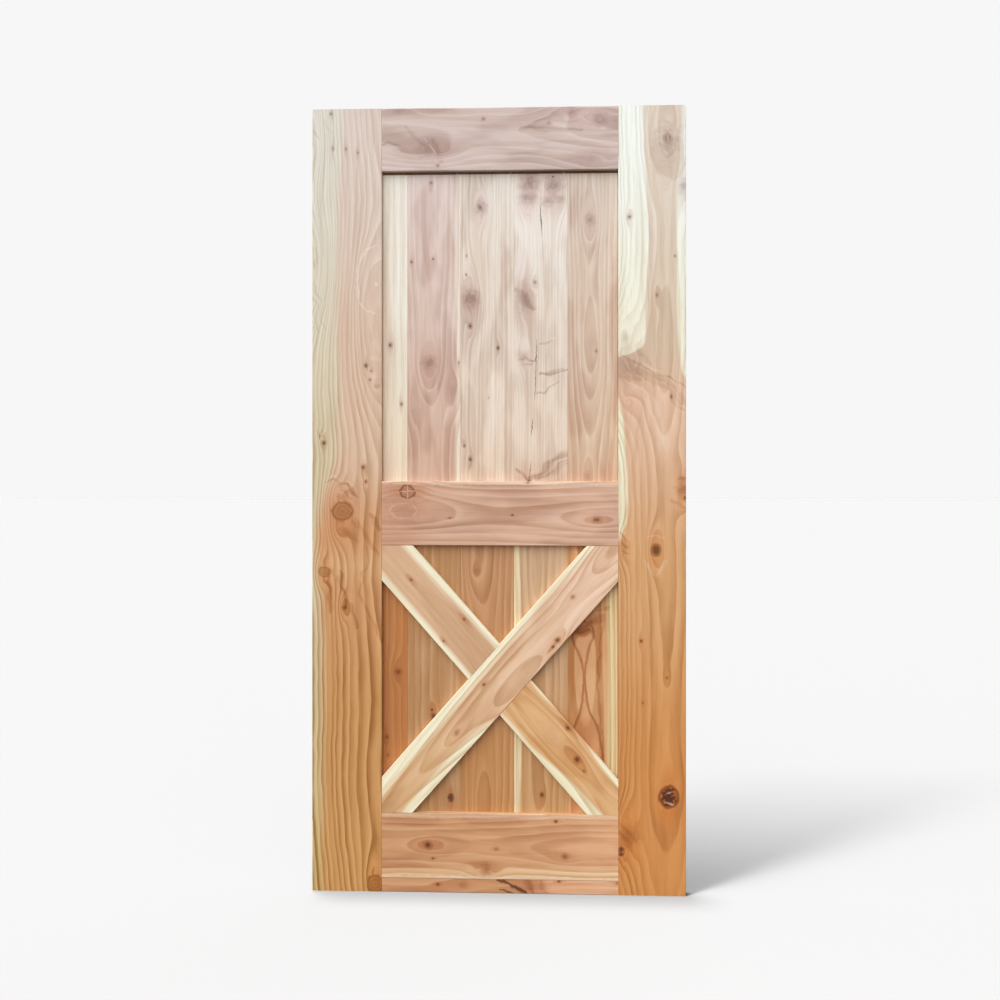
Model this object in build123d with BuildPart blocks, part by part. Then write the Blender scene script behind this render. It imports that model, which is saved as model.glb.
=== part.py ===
from build123d import *

import os
from math import atan2, ceil, cos, degrees, hypot, radians, sin, tan

# Barn door leaf: two stiles, three rails and a foot strip, tongue-and-groove boards in the two openings
# and a crossed brace on the lower boards, flush with the frame.
# Millimetres. X runs across the leaf, Y from front to back, Z up.
# The origin is the middle of the bottom edge, half way through the thickness.

# Leaf
leaf_width = 1016.0
leaf_height = 2134.0
frame_thickness = 38.0
eased_edge = 2.0

# Stiles and rails, as seen from the front
left_stile_width = 191.0
right_stile_width = 182.0
top_rail_height = 171.0
mid_rail_height = 174.0
bottom_rail_height = 178.0
lower_opening_height = 728.0

# Foot strip below the bottom rail, a little behind the faces of the frame
foot_strip_height = 38.0
foot_strip_set_back = 1.0

# Boards, flush with the back of the frame
board_thickness = 19.0
board_face_width = 146.0
board_eased_edge = 1.0
panel_side_gap = 0.8
upper_board_drop = 7.0
narrowest_board_share = 0.2

# One tongue and groove for boards, rails and stiles
tongue_thickness = 6.4
tongue_length = 10.0
tongue_clearance = 0.15
groove_spare_depth = 1.0

# Blind mortise and tenon of each rail
tenon_thickness = 12.7
tenon_length = 64.0
tenon_shoulder = 25.0
tenon_clearance = 0.15
mortise_spare_depth = 2.0

# Braces
brace_width = 127.0
brace_fit_gap = 0.3

# Countersunk screws that hold the braces, driven from the back
screw_shank_radius = 2.1
screw_head_radius = 4.2
screw_head_angle = 82.0
screw_bite = 13.0
screw_point_length = 5.0
screw_tip_radius = 0.4
screw_clearance = 0.15
screw_edge_distance = 16.0

# How far each cut runs past the face it starts from
cut_overrun = 1.0

# Places across the thickness
front = -frame_thickness / 2
back = frame_thickness / 2
board_front = back - board_thickness
board_middle = (board_front + back) / 2
tongue_back = board_middle + tongue_thickness / 2
tenon_middle = tongue_back - tenon_thickness / 2
groove_width = tongue_thickness + 2 * tongue_clearance
groove_depth = tongue_length + groove_spare_depth

# Places across the width
leaf_left = -leaf_width / 2
leaf_right = leaf_width / 2
opening_left = leaf_left + left_stile_width
opening_right = leaf_right - right_stile_width
opening_width = opening_right - opening_left
opening_middle = (opening_left + opening_right) / 2

# Places up the height
bottom_rail_top = foot_strip_height + bottom_rail_height
mid_rail_bottom = bottom_rail_top + lower_opening_height
mid_rail_top = mid_rail_bottom + mid_rail_height
top_rail_bottom = leaf_height - top_rail_height
lower_opening_middle = (bottom_rail_top + mid_rail_bottom) / 2
rail_spans = [
    (foot_strip_height, bottom_rail_top),
    (mid_rail_bottom, mid_rail_top),
    (top_rail_bottom, leaf_height),
]

# Faces of the boards from left to right. They are laid from the right stile. The first one loses a tongue's
# length where its grooved edge is cut to a tongue, and the last one is ripped to the width that is left.
panel_left = opening_left + panel_side_gap
panel_right = opening_right - panel_side_gap
first_joint = panel_right - (board_face_width - tongue_length)
full_boards = max(0, ceil((first_joint - panel_left) / board_face_width - narrowest_board_share) - 1)
board_joints = [first_joint - board_face_width * index for index in range(full_boards, -1, -1)]
board_spans = list(zip([panel_left] + board_joints, board_joints + [panel_right]))

# Braces run from corner to corner of the lower opening
brace_thickness = board_front - front
brace_slope = lower_opening_height / opening_width
brace_angle = degrees(atan2(lower_opening_height, opening_width))
brace_blank_length = hypot(opening_width, lower_opening_height) + brace_width
brace_plane = Plane.XZ.offset(-board_front)
crossing_reach = brace_width / 2 / sin(radians(2 * brace_angle)) * cos(radians(brace_angle))

# Screw seats on the back of the boards: one in the middle of each board, so that the board can still swell
# and shrink, on the middle line of each brace. The short braces have none where the long brace crosses them.
long_screws = []
short_screws = []
for left, right in board_spans:
    board_centre = (left + right) / 2
    rise = (board_centre - opening_middle) * brace_slope
    long_screws.append((board_centre, lower_opening_middle + rise))
    if abs(board_centre - opening_middle) > crossing_reach + screw_edge_distance:
        short_screws.append((board_centre, lower_opening_middle - rise))
screw_head_height = (screw_head_radius - screw_shank_radius) / tan(radians(screw_head_angle / 2))
screw_length = board_thickness + screw_bite
pilot_depth = screw_bite + cut_overrun


def facing_back(places, depth):
    """Planes that face the back of the leaf at the given places across and up it."""
    return [Plane(origin=(x, depth, z), x_dir=(1, 0, 0), z_dir=(0, 1, 0)) for x, z in places]


os.makedirs("parts", exist_ok=True)


# Stiles: grooved along the whole inner edge, with a blind mortise for each rail
for label, inner, outer in (
    ("left_stile", opening_left, leaf_left),
    ("right_stile", opening_right, leaf_right),
):
    into_stile = 1 if outer > inner else -1
    mortise_depth = tenon_length + mortise_spare_depth
    mortise_length = mortise_depth + cut_overrun
    mortise_middle = inner + into_stile * (mortise_depth - cut_overrun) / 2
    with BuildPart() as stile:
        with BuildSketch() as stile_section:
            with Locations(((inner + outer) / 2, 0)):
                Rectangle(abs(outer - inner), frame_thickness)
            fillet(stile_section.vertices(), eased_edge)
            with Locations((inner, board_middle)):
                Rectangle(2 * groove_depth, groove_width, mode=Mode.SUBTRACT)
        extrude(amount=leaf_height)
        for low, high in rail_spans:
            with Locations((mortise_middle, tenon_middle, (low + high) / 2)):
                Box(
                    mortise_length,
                    tenon_thickness + 2 * tenon_clearance,
                    high - low - 2 * tenon_shoulder + 2 * tenon_clearance,
                    mode=Mode.SUBTRACT,
                )
    stile.part.label = label
    export_step(stile.part, f"parts/{label}.step")


# Rails: grooved where boards enter, a stub tongue along each end and a tenon in the middle of it
for label, (low, high), grooved_below, grooved_above in (
    ("bottom_rail", rail_spans[0], False, True),
    ("mid_rail", rail_spans[1], True, True),
    ("top_rail", rail_spans[2], True, False),
):
    stub_low = low + groove_depth if grooved_below else low
    stub_high = high - groove_depth if grooved_above else high
    with BuildPart() as rail:
        with BuildSketch(Plane.YZ.offset(opening_left)) as rail_section:
            with Locations((0, (low + high) / 2)):
                Rectangle(frame_thickness, high - low)
            fillet(rail_section.vertices(), eased_edge)
            if grooved_below:
                with Locations((board_middle, low)):
                    Rectangle(groove_width, 2 * groove_depth, mode=Mode.SUBTRACT)
            if grooved_above:
                with Locations((board_middle, high)):
                    Rectangle(groove_width, 2 * groove_depth, mode=Mode.SUBTRACT)
        extrude(amount=opening_width)
        with Locations((opening_middle, board_middle, (stub_low + stub_high) / 2)):
            Box(opening_width + 2 * tongue_length, tongue_thickness, stub_high - stub_low)
        with Locations((opening_middle, tenon_middle, (low + high) / 2)):
            Box(opening_width + 2 * tenon_length, tenon_thickness, high - low - 2 * tenon_shoulder)
    rail.part.label = label
    export_step(rail.part, f"parts/{label}.step")


# Foot strip: edge to edge below the bottom rail, its stub tongues in the grooves of the stiles
with BuildPart() as foot_strip:
    with BuildSketch(Plane.YZ.offset(opening_left)) as strip_section:
        with Locations((0, foot_strip_height / 2)):
            Rectangle(frame_thickness - 2 * foot_strip_set_back, foot_strip_height)
        fillet(strip_section.vertices(), eased_edge)
    extrude(amount=opening_width)
    with Locations((opening_middle, board_middle, foot_strip_height / 2)):
        Box(opening_width + 2 * tongue_length, tongue_thickness, foot_strip_height)
foot_strip.part.label = "foot_strip"
export_step(foot_strip.part, "parts/foot_strip.step")


# Boards: a tongue on the left edge and on both ends, a groove on the right edge.
# The board at the right stile has a tongue on both edges. The upper boards have dropped a little,
# so their top shoulder stands clear of the top rail and only the tongue is still in the groove.
for panel, low, high, seats in (
    ("upper", mid_rail_top, top_rail_bottom - upper_board_drop, []),
    ("lower", bottom_rail_top, mid_rail_bottom, long_screws + short_screws),
):
    for number, (left, right) in enumerate(board_spans, start=1):
        label = f"{panel}_board_{number}"
        at_right_stile = number == len(board_spans)
        tongue_left = left - tongue_length
        tongue_right = right + tongue_length if at_right_stile else right - groove_depth
        board_seats = [seat for seat in seats if left < seat[0] < right]
        with BuildPart() as board:
            with BuildSketch(Plane.XY.offset(low)) as board_section:
                with Locations(((left + right) / 2, board_middle)):
                    Rectangle(right - left, board_thickness)
                fillet(board_section.vertices().group_by(Axis.Y)[0], board_eased_edge)
                if not at_right_stile:
                    with Locations((right, board_middle)):
                        Rectangle(2 * groove_depth, groove_width, mode=Mode.SUBTRACT)
            extrude(amount=high - low)
            with Locations(((tongue_left + tongue_right) / 2, board_middle, (low + high) / 2)):
                Box(tongue_right - tongue_left, tongue_thickness, high - low + 2 * tongue_length)
            if board_seats:
                with Locations(*facing_back(board_seats, back)):
                    CounterSinkHole(
                        screw_shank_radius + screw_clearance,
                        screw_head_radius + screw_clearance,
                        counter_sink_angle=screw_head_angle,
                    )
        board.part.label = label
        export_step(board.part, f"parts/{label}.step")


# Long brace: one piece from the lower left to the upper right corner, pointed to fit both corners
with BuildPart() as long_brace:
    with BuildSketch(brace_plane):
        with Locations((opening_middle, lower_opening_middle)):
            Rectangle(opening_width - 2 * brace_fit_gap, lower_opening_height - 2 * brace_fit_gap)
            Rectangle(brace_blank_length, brace_width, rotation=brace_angle, mode=Mode.INTERSECT)
    extrude(amount=brace_thickness)
    long_run = Axis((0, 0, 0), (1, 0, brace_slope))
    fillet(long_brace.faces().sort_by(Axis.Y)[0].edges().filter_by(long_run), eased_edge)
    with Locations(*facing_back(long_screws, board_front)):
        Hole(screw_shank_radius + screw_clearance, pilot_depth)
long_brace.part.label = "long_brace"
export_step(long_brace.part, "parts/long_brace.step")


# Short braces: the two halves of the other diagonal, cut to the edges of the long brace
with BuildSketch(brace_plane) as short_outlines:
    with Locations((opening_middle, lower_opening_middle)):
        Rectangle(opening_width - 2 * brace_fit_gap, lower_opening_height - 2 * brace_fit_gap)
        Rectangle(brace_blank_length, brace_width, rotation=-brace_angle, mode=Mode.INTERSECT)
        Rectangle(
            brace_blank_length,
            brace_width + 2 * brace_fit_gap,
            rotation=brace_angle,
            mode=Mode.SUBTRACT,
        )
for label, outline in zip(
    ("lower_short_brace", "upper_short_brace"), short_outlines.sketch.faces().sort_by(Axis.Z)
):
    is_lower = label == "lower_short_brace"
    short_seats = [seat for seat in short_screws if (seat[1] < lower_opening_middle) == is_lower]
    with BuildPart() as short_brace:
        extrude(outline, amount=brace_thickness)
        short_run = Axis((0, 0, 0), (1, 0, -brace_slope))
        fillet(short_brace.faces().sort_by(Axis.Y)[0].edges().filter_by(short_run), eased_edge)
        with Locations(*facing_back(short_seats, board_front)):
            Hole(screw_shank_radius + screw_clearance, pilot_depth)
    short_brace.part.label = label
    export_step(short_brace.part, f"parts/{label}.step")


# Brace screws: flat heads level with the back of the boards
with BuildPart() as brace_screws:
    with Locations(*facing_back(long_screws + short_screws, back)):
        Cone(
            screw_shank_radius,
            screw_head_radius,
            screw_head_height,
            align=(Align.CENTER, Align.CENTER, Align.MAX),
        )
        Cylinder(
            screw_shank_radius,
            screw_length - screw_point_length,
            align=(Align.CENTER, Align.CENTER, Align.MAX),
        )
    with Locations(*facing_back(long_screws + short_screws, back - screw_length)):
        Cone(
            screw_tip_radius,
            screw_shank_radius,
            screw_point_length,
            align=(Align.CENTER, Align.CENTER, Align.MIN),
        )
brace_screws.part.label = "brace_screws"
export_step(brace_screws.part, "parts/brace_screws.step")
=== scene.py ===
# %% [markdown]
# # A barn door leaf in knotty fir
#
# The leaf is a frame of two stiles and three rails around upright tongue-and-groove boards, with a
# crossed brace set flush into the lower opening. Its solids come from the CAD model, which also fixes
# every size. What is left for Blender is the wood itself: grain, knots, sapwood and splits, board by
# board, and a quiet studio around it.

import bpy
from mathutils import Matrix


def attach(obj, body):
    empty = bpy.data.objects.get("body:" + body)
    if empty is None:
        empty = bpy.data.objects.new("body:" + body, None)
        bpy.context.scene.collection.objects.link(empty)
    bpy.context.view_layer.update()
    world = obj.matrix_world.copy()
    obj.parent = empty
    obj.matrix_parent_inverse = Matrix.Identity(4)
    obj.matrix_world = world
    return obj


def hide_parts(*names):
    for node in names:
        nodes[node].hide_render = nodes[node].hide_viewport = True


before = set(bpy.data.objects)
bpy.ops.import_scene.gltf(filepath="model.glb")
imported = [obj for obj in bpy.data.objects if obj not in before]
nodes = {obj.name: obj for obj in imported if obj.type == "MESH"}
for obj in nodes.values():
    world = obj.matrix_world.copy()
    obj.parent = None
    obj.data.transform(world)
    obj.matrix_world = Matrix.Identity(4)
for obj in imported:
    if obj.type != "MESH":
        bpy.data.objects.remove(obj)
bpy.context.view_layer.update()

# %% [markdown]
# ## Placing shader nodes
#
# A wood finish takes a few hundred shader nodes, and most of them are small sums. They could be wired
# one by one in the Shader Editor. Here a small bench does it: each of its calls sets one node in a
# tree, feeds its sockets with numbers or with other sockets, and hands back the result. Small helpers
# beside it make a group, a finish or an object.

# %% A bench for shader nodes
import math

import bmesh
import bpy
from mathutils import Euler, Matrix, Vector


class Bench:
    """Sets shader nodes in one tree and joins them up."""

    def __init__(self, tree):
        self.tree = tree

    def node(self, kind, **settings):
        made = self.tree.nodes.new("ShaderNode" + kind)
        for name, value in settings.items():
            setattr(made, name, value)
        return made

    def feed(self, socket, source):
        if isinstance(source, bpy.types.NodeSocket):
            self.tree.links.new(source, socket)
        else:
            socket.default_value = source

    def fill(self, made, sources):
        for socket, source in zip(made.inputs, sources):
            self.feed(socket, source)
        return made.outputs

    def math(self, operation, *values):
        return self.fill(self.node("Math", operation=operation), values)[0]

    def times(self, first, second):
        return self.math("MULTIPLY", first, second)

    def minus(self, first, second):
        return self.math("SUBTRACT", first, second)

    def scaled(self, value, scale, shift):
        return self.math("MULTIPLY_ADD", value, scale, shift)

    def vector(self, operation, *values, out=0):
        return self.fill(self.node("VectorMath", operation=operation), values)[out]

    def step(self, value, start, end, low=0.0, high=1.0):
        made = self.node("MapRange", interpolation_type="SMOOTHSTEP", clamp=False)
        return self.fill(made, (value, start, end, low, high))[0]

    def split(self, point):
        return self.fill(self.node("SeparateXYZ"), (point,))

    def join(self, *parts):
        return self.fill(self.node("CombineXYZ"), parts)[0]

    def noise(self, point, scale=1.0, detail=2.0, rough=0.5, out="Fac"):
        made = self.node("TexNoise")
        self.feed(made.inputs["Vector"], point)
        made.inputs["Scale"].default_value = scale
        made.inputs["Detail"].default_value = detail
        made.inputs["Roughness"].default_value = rough
        return made.outputs[out]

    def blend(self, factor, first, second, how="MIX"):
        made = self.node("Mix", data_type="RGBA", blend_type=how)
        self.feed(made.inputs[0], factor)
        self.feed(made.inputs[6], first)
        self.feed(made.inputs[7], second)
        return made.outputs[2]

    def group(self, tree, **inputs):
        made = self.node("Group", node_tree=tree)
        for name, source in inputs.items():
            self.feed(made.inputs[name.replace("_", " ").title()], source)
        return made.outputs


KINDS = {"value": "NodeSocketFloat", "point": "NodeSocketVector", "colour": "NodeSocketColor"}


def new_group(name, inputs, outputs):
    """An empty node group with named sockets: its bench, its inputs and its output node."""
    tree = bpy.data.node_groups.new(name, "ShaderNodeTree")
    for socket, kind in inputs.items():
        tree.interface.new_socket(socket, in_out="INPUT", socket_type=KINDS[kind])
    for socket, kind in outputs.items():
        tree.interface.new_socket(socket, in_out="OUTPUT", socket_type=KINDS[kind])
    bench = Bench(tree)
    given = tree.nodes.new("NodeGroupInput").outputs
    result = tree.nodes.new("NodeGroupOutput").inputs
    return bench, given, result


def tone(red, green, blue):
    """A colour as a paint chart gives it, 0 to 255, turned into the linear values that shaders use."""
    def straight(level):
        level /= 255
        return level / 12.92 if level <= 0.04045 else ((level + 0.055) / 1.055) ** 2.4
    return (straight(red), straight(green), straight(blue), 1.0)


def new_finish(name):
    """A new material: itself, a bench for its nodes and the sockets of its surface."""
    material = bpy.data.materials.new(name)
    material.use_nodes = True
    return material, Bench(material.node_tree), material.node_tree.nodes["Principled BSDF"].inputs


def placed(name, data):
    """A new object in the scene."""
    made = bpy.data.objects.new(name, data)
    bpy.context.scene.collection.objects.link(made)
    return made


def shaped(name, shape):
    """A new object in the scene, with a finished bmesh as its mesh."""
    mesh = bpy.data.meshes.new(name)
    shape.to_mesh(mesh)
    shape.free()
    return placed(name, mesh)


print("bench ready")

# %% [markdown]
# ## A knot
#
# A knot is the foot of a branch: a hard, dark disc with its own rings, and around it the grain of the
# trunk parts and closes again like water round a stone. A picture of a knot would sit on top of the
# grain. So this group does not paint: it takes a point on the board, adds to how far the grain is
# pushed aside and how far the rings are drawn out, and hands on masks for the disc, its rim, its heart
# and the stained wood around it. One group per knot, in a chain, makes a board with many knots.

# %% Knot group
RUNNING = ("Bend", "Draw", "Core", "Rim", "Heart", "Halo")
KNOT_SIZES = ("Across", "Along", "Radius", "Oval", "Lift", "Dark")
KNOT_LOOKS = ("Soft", "Rough", "Fill", "Loose", "Hole", "Pupil")
GRAIN_OVAL = 2.4  # length over width of the parted grain
GRAIN_FADE = 0.22
GRAIN_PUSH = 0.75
KNOT_RINGS = 16.0
PUPIL_CORE = 0.35
bench, given, result = new_group(
    "knot",
    {"Point": "point", **dict.fromkeys(("Ragged", "Speck") + RUNNING + KNOT_SIZES + KNOT_LOOKS, "value")},
    dict.fromkeys(RUNNING, "value"),
)
across, _, along = bench.split(given["Point"])
aside = bench.minus(across, given["Across"])
ahead = bench.math("DIVIDE", bench.minus(along, given["Along"]), given["Oval"])
aside_share = bench.math("DIVIDE", aside, given["Radius"])
ahead_share = bench.math("DIVIDE", ahead, given["Radius"])
rho = bench.vector("LENGTH", bench.join(aside_share, 0.0, ahead_share), out=1)
rho = bench.scaled(given["Ragged"], given["Rough"], rho)
drawn_out = bench.math("DIVIDE", ahead_share, GRAIN_OVAL)
far = bench.vector("LENGTH", bench.join(aside_share, 0.0, drawn_out), out=1)
reach = bench.math("DIVIDE", 1.0, bench.scaled(bench.math("POWER", far, 4.0), GRAIN_FADE, 1.0))
disc = bench.step(rho, bench.math("ADD", given["Soft"], 1.0), bench.minus(1.0, given["Soft"]))
rings = bench.scaled(bench.math("SINE", bench.times(rho, KNOT_RINGS)), 0.16, 0.84)
rim = bench.times(bench.step(rho, 0.72, 0.98), bench.step(rho, 1.20, 1.04))
pupil = bench.times(given["Pupil"], PUPIL_CORE)
heart = bench.step(bench.math("ADD", rho, given["Speck"]), given["Pupil"], pupil)
heart = bench.times(heart, bench.step(rho, 1.0, 0.8))
stain = bench.times(reach, reach)


def shaded(mask, share):
    return bench.times(bench.times(mask, share), given["Dark"])


push = bench.times(aside, reach)
bench.feed(result["Bend"], bench.scaled(push, GRAIN_PUSH, given["Bend"]))
bench.feed(result["Draw"], bench.scaled(given["Lift"], reach, given["Draw"]))
for name, mask, share in (
    ("Core", bench.times(disc, rings), given["Fill"]),
    ("Rim", rim, given["Loose"]),
    ("Heart", heart, given["Hole"]),
    ("Halo", stain, 1.0),
):
    bench.feed(result[name], bench.math("MAXIMUM", given[name], shaded(mask, share)))
knot = bench.tree
print("knot group:", len(knot.nodes), "nodes")

# %% [markdown]
# ## A split or a feather
#
# Drying splits, bark pockets and the feathery marks beside a branch are tapering lines. The
# distance from a point to a line between two ends gives such a mark anywhere on the board: thin and
# dark for a split, broad and soft for a feather.

# %% Streak group
bench, given, result = new_group(
    "streak",
    {
        "Point": "point", "Mark": "value", "Start": "point", "End": "point",
        "Width": "value", "Dark": "value", "Firm": "value",
    },
    {"Mark": "value"},
)
flat = bench.vector("MULTIPLY", given["Point"], (1.0, 0.0, 1.0))
run = bench.vector("SUBTRACT", given["End"], given["Start"])
from_start = bench.vector("SUBTRACT", flat, given["Start"])
share = bench.math(
    "DIVIDE",
    bench.vector("DOT_PRODUCT", from_start, run, out=1),
    bench.vector("DOT_PRODUCT", run, run, out=1),
)
share = bench.math("MAXIMUM", bench.math("MINIMUM", share, 1.0), 0.0)
foot = bench.node("VectorMath", operation="SCALE")
bench.feed(foot.inputs[0], run)
bench.feed(foot.inputs["Scale"], share)
away = bench.vector("LENGTH", bench.vector("SUBTRACT", from_start, foot.outputs[0]), out=1)
centred = bench.scaled(share, 2.0, -1.0)
thin = bench.times(bench.times(centred, centred), given["Firm"])
taper = bench.scaled(thin, -0.75, 1.0)
half = bench.times(bench.times(given["Width"], 0.5), taper)
line = bench.step(away, half, bench.times(half, bench.times(given["Firm"], 0.15)))
bench.feed(result["Mark"], bench.math("MAXIMUM", given["Mark"], bench.times(line, given["Dark"])))
streak = bench.tree
print("streak group:", len(streak.nodes), "nodes")

# %% [markdown]
# ## Growth rings
#
# Each year's ring is a tube around the pith: pale spring wood that slowly darkens into a hard line of
# summer wood and then starts pale again. A board is a slice through those tubes, so the rings are worked
# out in the round: the distance from the pith, which lies somewhere behind the face, drifts along
# the board and is pushed about by the knots. The same sum gives lines on the face, arcs on the end
# grain and the long pointed arches between. Fine fibre and broad streaks ride on the same flow.

# %% Growth ring group
RING_SIZES = ("Bend", "Draw", "Stir", "Pith", "Pith Depth", "Ring", "Slope", "Wander", "Seed")
RING_MASKS = ("Late", "Early", "Fibre", "Broad", "Patch", "Flow")
SLOW_WAVE = (240.0, 560.0)  # sizes across and along the grain, in mm
QUICK_WAVE = (40.0, 80.0)
PITH_DRIFT = (900.0, 480.0)
BROAD_SIZE = (13.0, 300.0)
PATCH_SIZE = (55.0, 190.0)
FIBRE_SIZE = (1.6, 60.0)
UNEVEN_SPAN = 42.0
bench, given, result = new_group(
    "growth rings",
    {"Point": "point", **dict.fromkeys(RING_SIZES, "value")},
    dict.fromkeys(RING_MASKS, "value"),
)
across, depth, along = bench.split(given["Point"])
other_tree = bench.join(0.0, given["Seed"], 0.0)
place = bench.vector("ADD", given["Point"], other_tree)


def stretched(point, side, length):
    """The point in steps of the grain's own scale: side across the board, length along it, in mm."""
    return bench.vector("DIVIDE", point, (side, side, length))


def swing(value, size):
    """Noise from 0 to 1 turned into a push of either sign."""
    return bench.times(bench.scaled(value, 2.0, -1.0), size)


slow = bench.noise(stretched(place, *SLOW_WAVE), detail=0.0)
quick = bench.noise(stretched(place, *QUICK_WAVE), detail=1.0)
drift = bench.noise(stretched(place, *PITH_DRIFT), detail=0.0)
flow = bench.minus(across, given["Bend"])
flow = bench.math("ADD", flow, swing(slow, given["Wander"]))
restless = bench.scaled(given["Stir"], 3.0, 0.45)
flow = bench.math("ADD", flow, swing(quick, bench.times(given["Wander"], restless)))
sunk = bench.minus(depth, given["Pith Depth"])
sunk = bench.scaled(along, given["Slope"], sunk)
swell = bench.math("MINIMUM", bench.times(given["Pith Depth"], 0.5), 26.0)
sunk = bench.math("ADD", sunk, swing(drift, swell))
radius = bench.vector("LENGTH", bench.join(bench.minus(flow, given["Pith"]), sunk, 0.0), out=1)
radius = bench.minus(radius, given["Draw"])
uneven = bench.noise(bench.join(bench.math("DIVIDE", radius, UNEVEN_SPAN), given["Seed"], 0.0), detail=1.0)
count = bench.math("ADD", bench.math("DIVIDE", radius, given["Ring"]), swing(uneven, 1.1))
year = bench.math("FLOOR", count)
season = bench.math("FRACT", count)
chance = bench.node("TexWhiteNoise", noise_dimensions="2D")
bench.feed(chance.inputs["Vector"], bench.join(year, given["Seed"], 0.0))
along_flow = bench.vector("ADD", bench.join(flow, depth, along), other_tree)
broad = bench.noise(stretched(along_flow, *BROAD_SIZE))
patch = bench.noise(stretched(along_flow, *PATCH_SIZE))
hard = bench.scaled(chance.outputs["Value"], 0.7, 0.3)
hard = bench.times(hard, bench.step(patch, 0.25, 0.62, 0.55, 1.2))
late = bench.times(bench.step(season, 0.25, 0.88), bench.step(season, 1.0, 0.92))
bench.feed(result["Late"], bench.times(late, hard))
bench.feed(result["Early"], bench.times(bench.step(season, 0.36, 0.06), hard))
bench.feed(result["Fibre"], bench.noise(stretched(along_flow, *FIBRE_SIZE), rough=0.6))
bench.feed(result["Broad"], broad)
bench.feed(result["Patch"], patch)
bench.feed(result["Flow"], flow)
growth_rings = bench.tree
print("growth ring group:", len(growth_rings.nodes), "nodes")

# %% [markdown]
# ## The colour of fir
#
# Fir heartwood runs from pink to orange brown, and its sapwood, the last rings under the bark, is
# cream. Summer wood is darker and redder, a knot browner still, and a split nearly black. Each layer
# multiplies what is under it, so the same group suits the pale boards and the orange ones.

# %% Fir colour group
BROAD_STREAK = (0.86, 0.79, 0.72, 1.0)
FIBRE = (0.84, 0.76, 0.69, 1.0)
KNOT_RIM = (0.42, 0.30, 0.22, 1.0)
KNOT_HEART = (0.20, 0.13, 0.09, 1.0)
SPLIT = (0.20, 0.14, 0.10, 1.0)
# also screened over the wood for the painted highlights along the mid and bottom rails' top edges and in the
# hollow knot
PALE_LINE = (0.30, 0.26, 0.22, 1.0)

COLOURS = ("Heartwood", "Sap", "Summer", "Spring", "Stain", "Knot", "Smear")
MASKS = (
    "Sapwood", "Late", "Early", "Fibre", "Broad", "Core", "Rim", "Heart", "Halo",
    "Split", "Feather", "Pale", "Contrast",
)
bench, given, result = new_group(
    "fir colour",
    {**dict.fromkeys(COLOURS, "colour"), **dict.fromkeys(MASKS, "value")},
    {"Colour": "colour", "Roughness": "value"},
)
quiet = bench.times(given["Contrast"], bench.scaled(given["Sapwood"], 0.4, 1.0))
quiet = bench.times(quiet, bench.minus(1.0, given["Core"]))
colour = bench.blend(given["Sapwood"], given["Heartwood"], given["Sap"])
spring = bench.times(given["Early"], quiet)
colour = bench.blend(spring, colour, given["Spring"], "SCREEN")
for factor, layer in (
    (bench.times(given["Late"], quiet), given["Summer"]),
    (bench.step(given["Broad"], 0.40, 0.72, 0.0, 0.6), BROAD_STREAK),
    (bench.step(given["Fibre"], 0.46, 0.78, 0.0, 0.55), FIBRE),
    (given["Halo"], given["Stain"]),
    (given["Feather"], given["Smear"]),
    (given["Core"], given["Knot"]),
    (given["Rim"], KNOT_RIM),
    (given["Heart"], KNOT_HEART),
    (given["Split"], SPLIT),
):
    colour = bench.blend(factor, colour, layer, "MULTIPLY")
bench.feed(result["Colour"], bench.blend(given["Pale"], colour, PALE_LINE, "SCREEN"))
polish = bench.scaled(given["Late"], -0.09, 0.62)
polish = bench.scaled(given["Core"], -0.10, polish)
bench.feed(result["Roughness"], bench.scaled(given["Fibre"], 0.08, polish))
fir_colour = bench.tree
print("fir colour group:", len(fir_colour.nodes), "nodes")

# %% [markdown]
# ## One board's finish
#
# Every board is from another tree, so each gets its own material, made from one recipe: where its
# middle is and which way its grain runs, how the rings lie, the heartwood and sapwood colours
# along it, the edges where sapwood starts, and its knots and splits. On the mid and bottom rails the same
# sapwood colour and edge also lay a painted highlight along the top edge. All places are in millimetres
# on the board itself: across to one side of its middle, and along the grain. A Mapping node turns Object
# coordinates into those, so the grain of a rail or a brace follows the piece.

# %% Board finish, its parts
MM_PER_M = 1000.0
SAP_SPAN = 240.0
WOOD_CHANGE = (0.45, 0.72)  # shares of the length between which the tints of foot and head blend
KNOT_KINDS = {  # soft edge, ragged edge, filled, bark round the rim, dark heart and its size
    "tight": (0.10, 0.30, 1.0, 0.40, 0.0, 0.5),
    "onion": (0.25, 0.20, 1.0, 0.30, 0.75, 1.0),
    "pin": (0.45, 0.6, 1.0, 0.0, 0.9, 0.7),
    "smudge": (0.70, 1.0, 0.8, 0.0, 0.25, 0.6),
    "loose": (0.18, 0.5, 0.65, 0.9, 0.0, 0.5),
    # a hollow knot is not cut into the solid; its dark heart is partly the dark wood inside it and partly
    # painted shade of the hollow
    "hole": (0.10, 0.2, 0.7, 0.8, 1.0, 1.25),
}
PALE = {
    "summer": (0.76, 0.68, 0.62, 1.0), "spring": (0.34, 0.31, 0.28, 1.0), "stain": (0.87, 0.77, 0.77, 1.0),
    "knot": (0.62, 0.53, 0.51, 1.0), "smear": (0.64, 0.54, 0.49, 1.0),
}
WARM = {
    "summer": (0.66, 0.53, 0.36, 1.0), "spring": (0.17, 0.13, 0.09, 1.0), "stain": (0.86, 0.69, 0.56, 1.0),
    "knot": (0.56, 0.40, 0.27, 1.0), "smear": (0.60, 0.42, 0.29, 1.0),
}
AMBER = {
    "summer": (0.56, 0.43, 0.22, 1.0), "spring": (0.12, 0.08, 0.04, 1.0), "stain": (0.93, 0.76, 0.62, 1.0),
    "knot": (0.60, 0.48, 0.25, 1.0), "smear": (0.60, 0.38, 0.20, 1.0),
}


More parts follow.
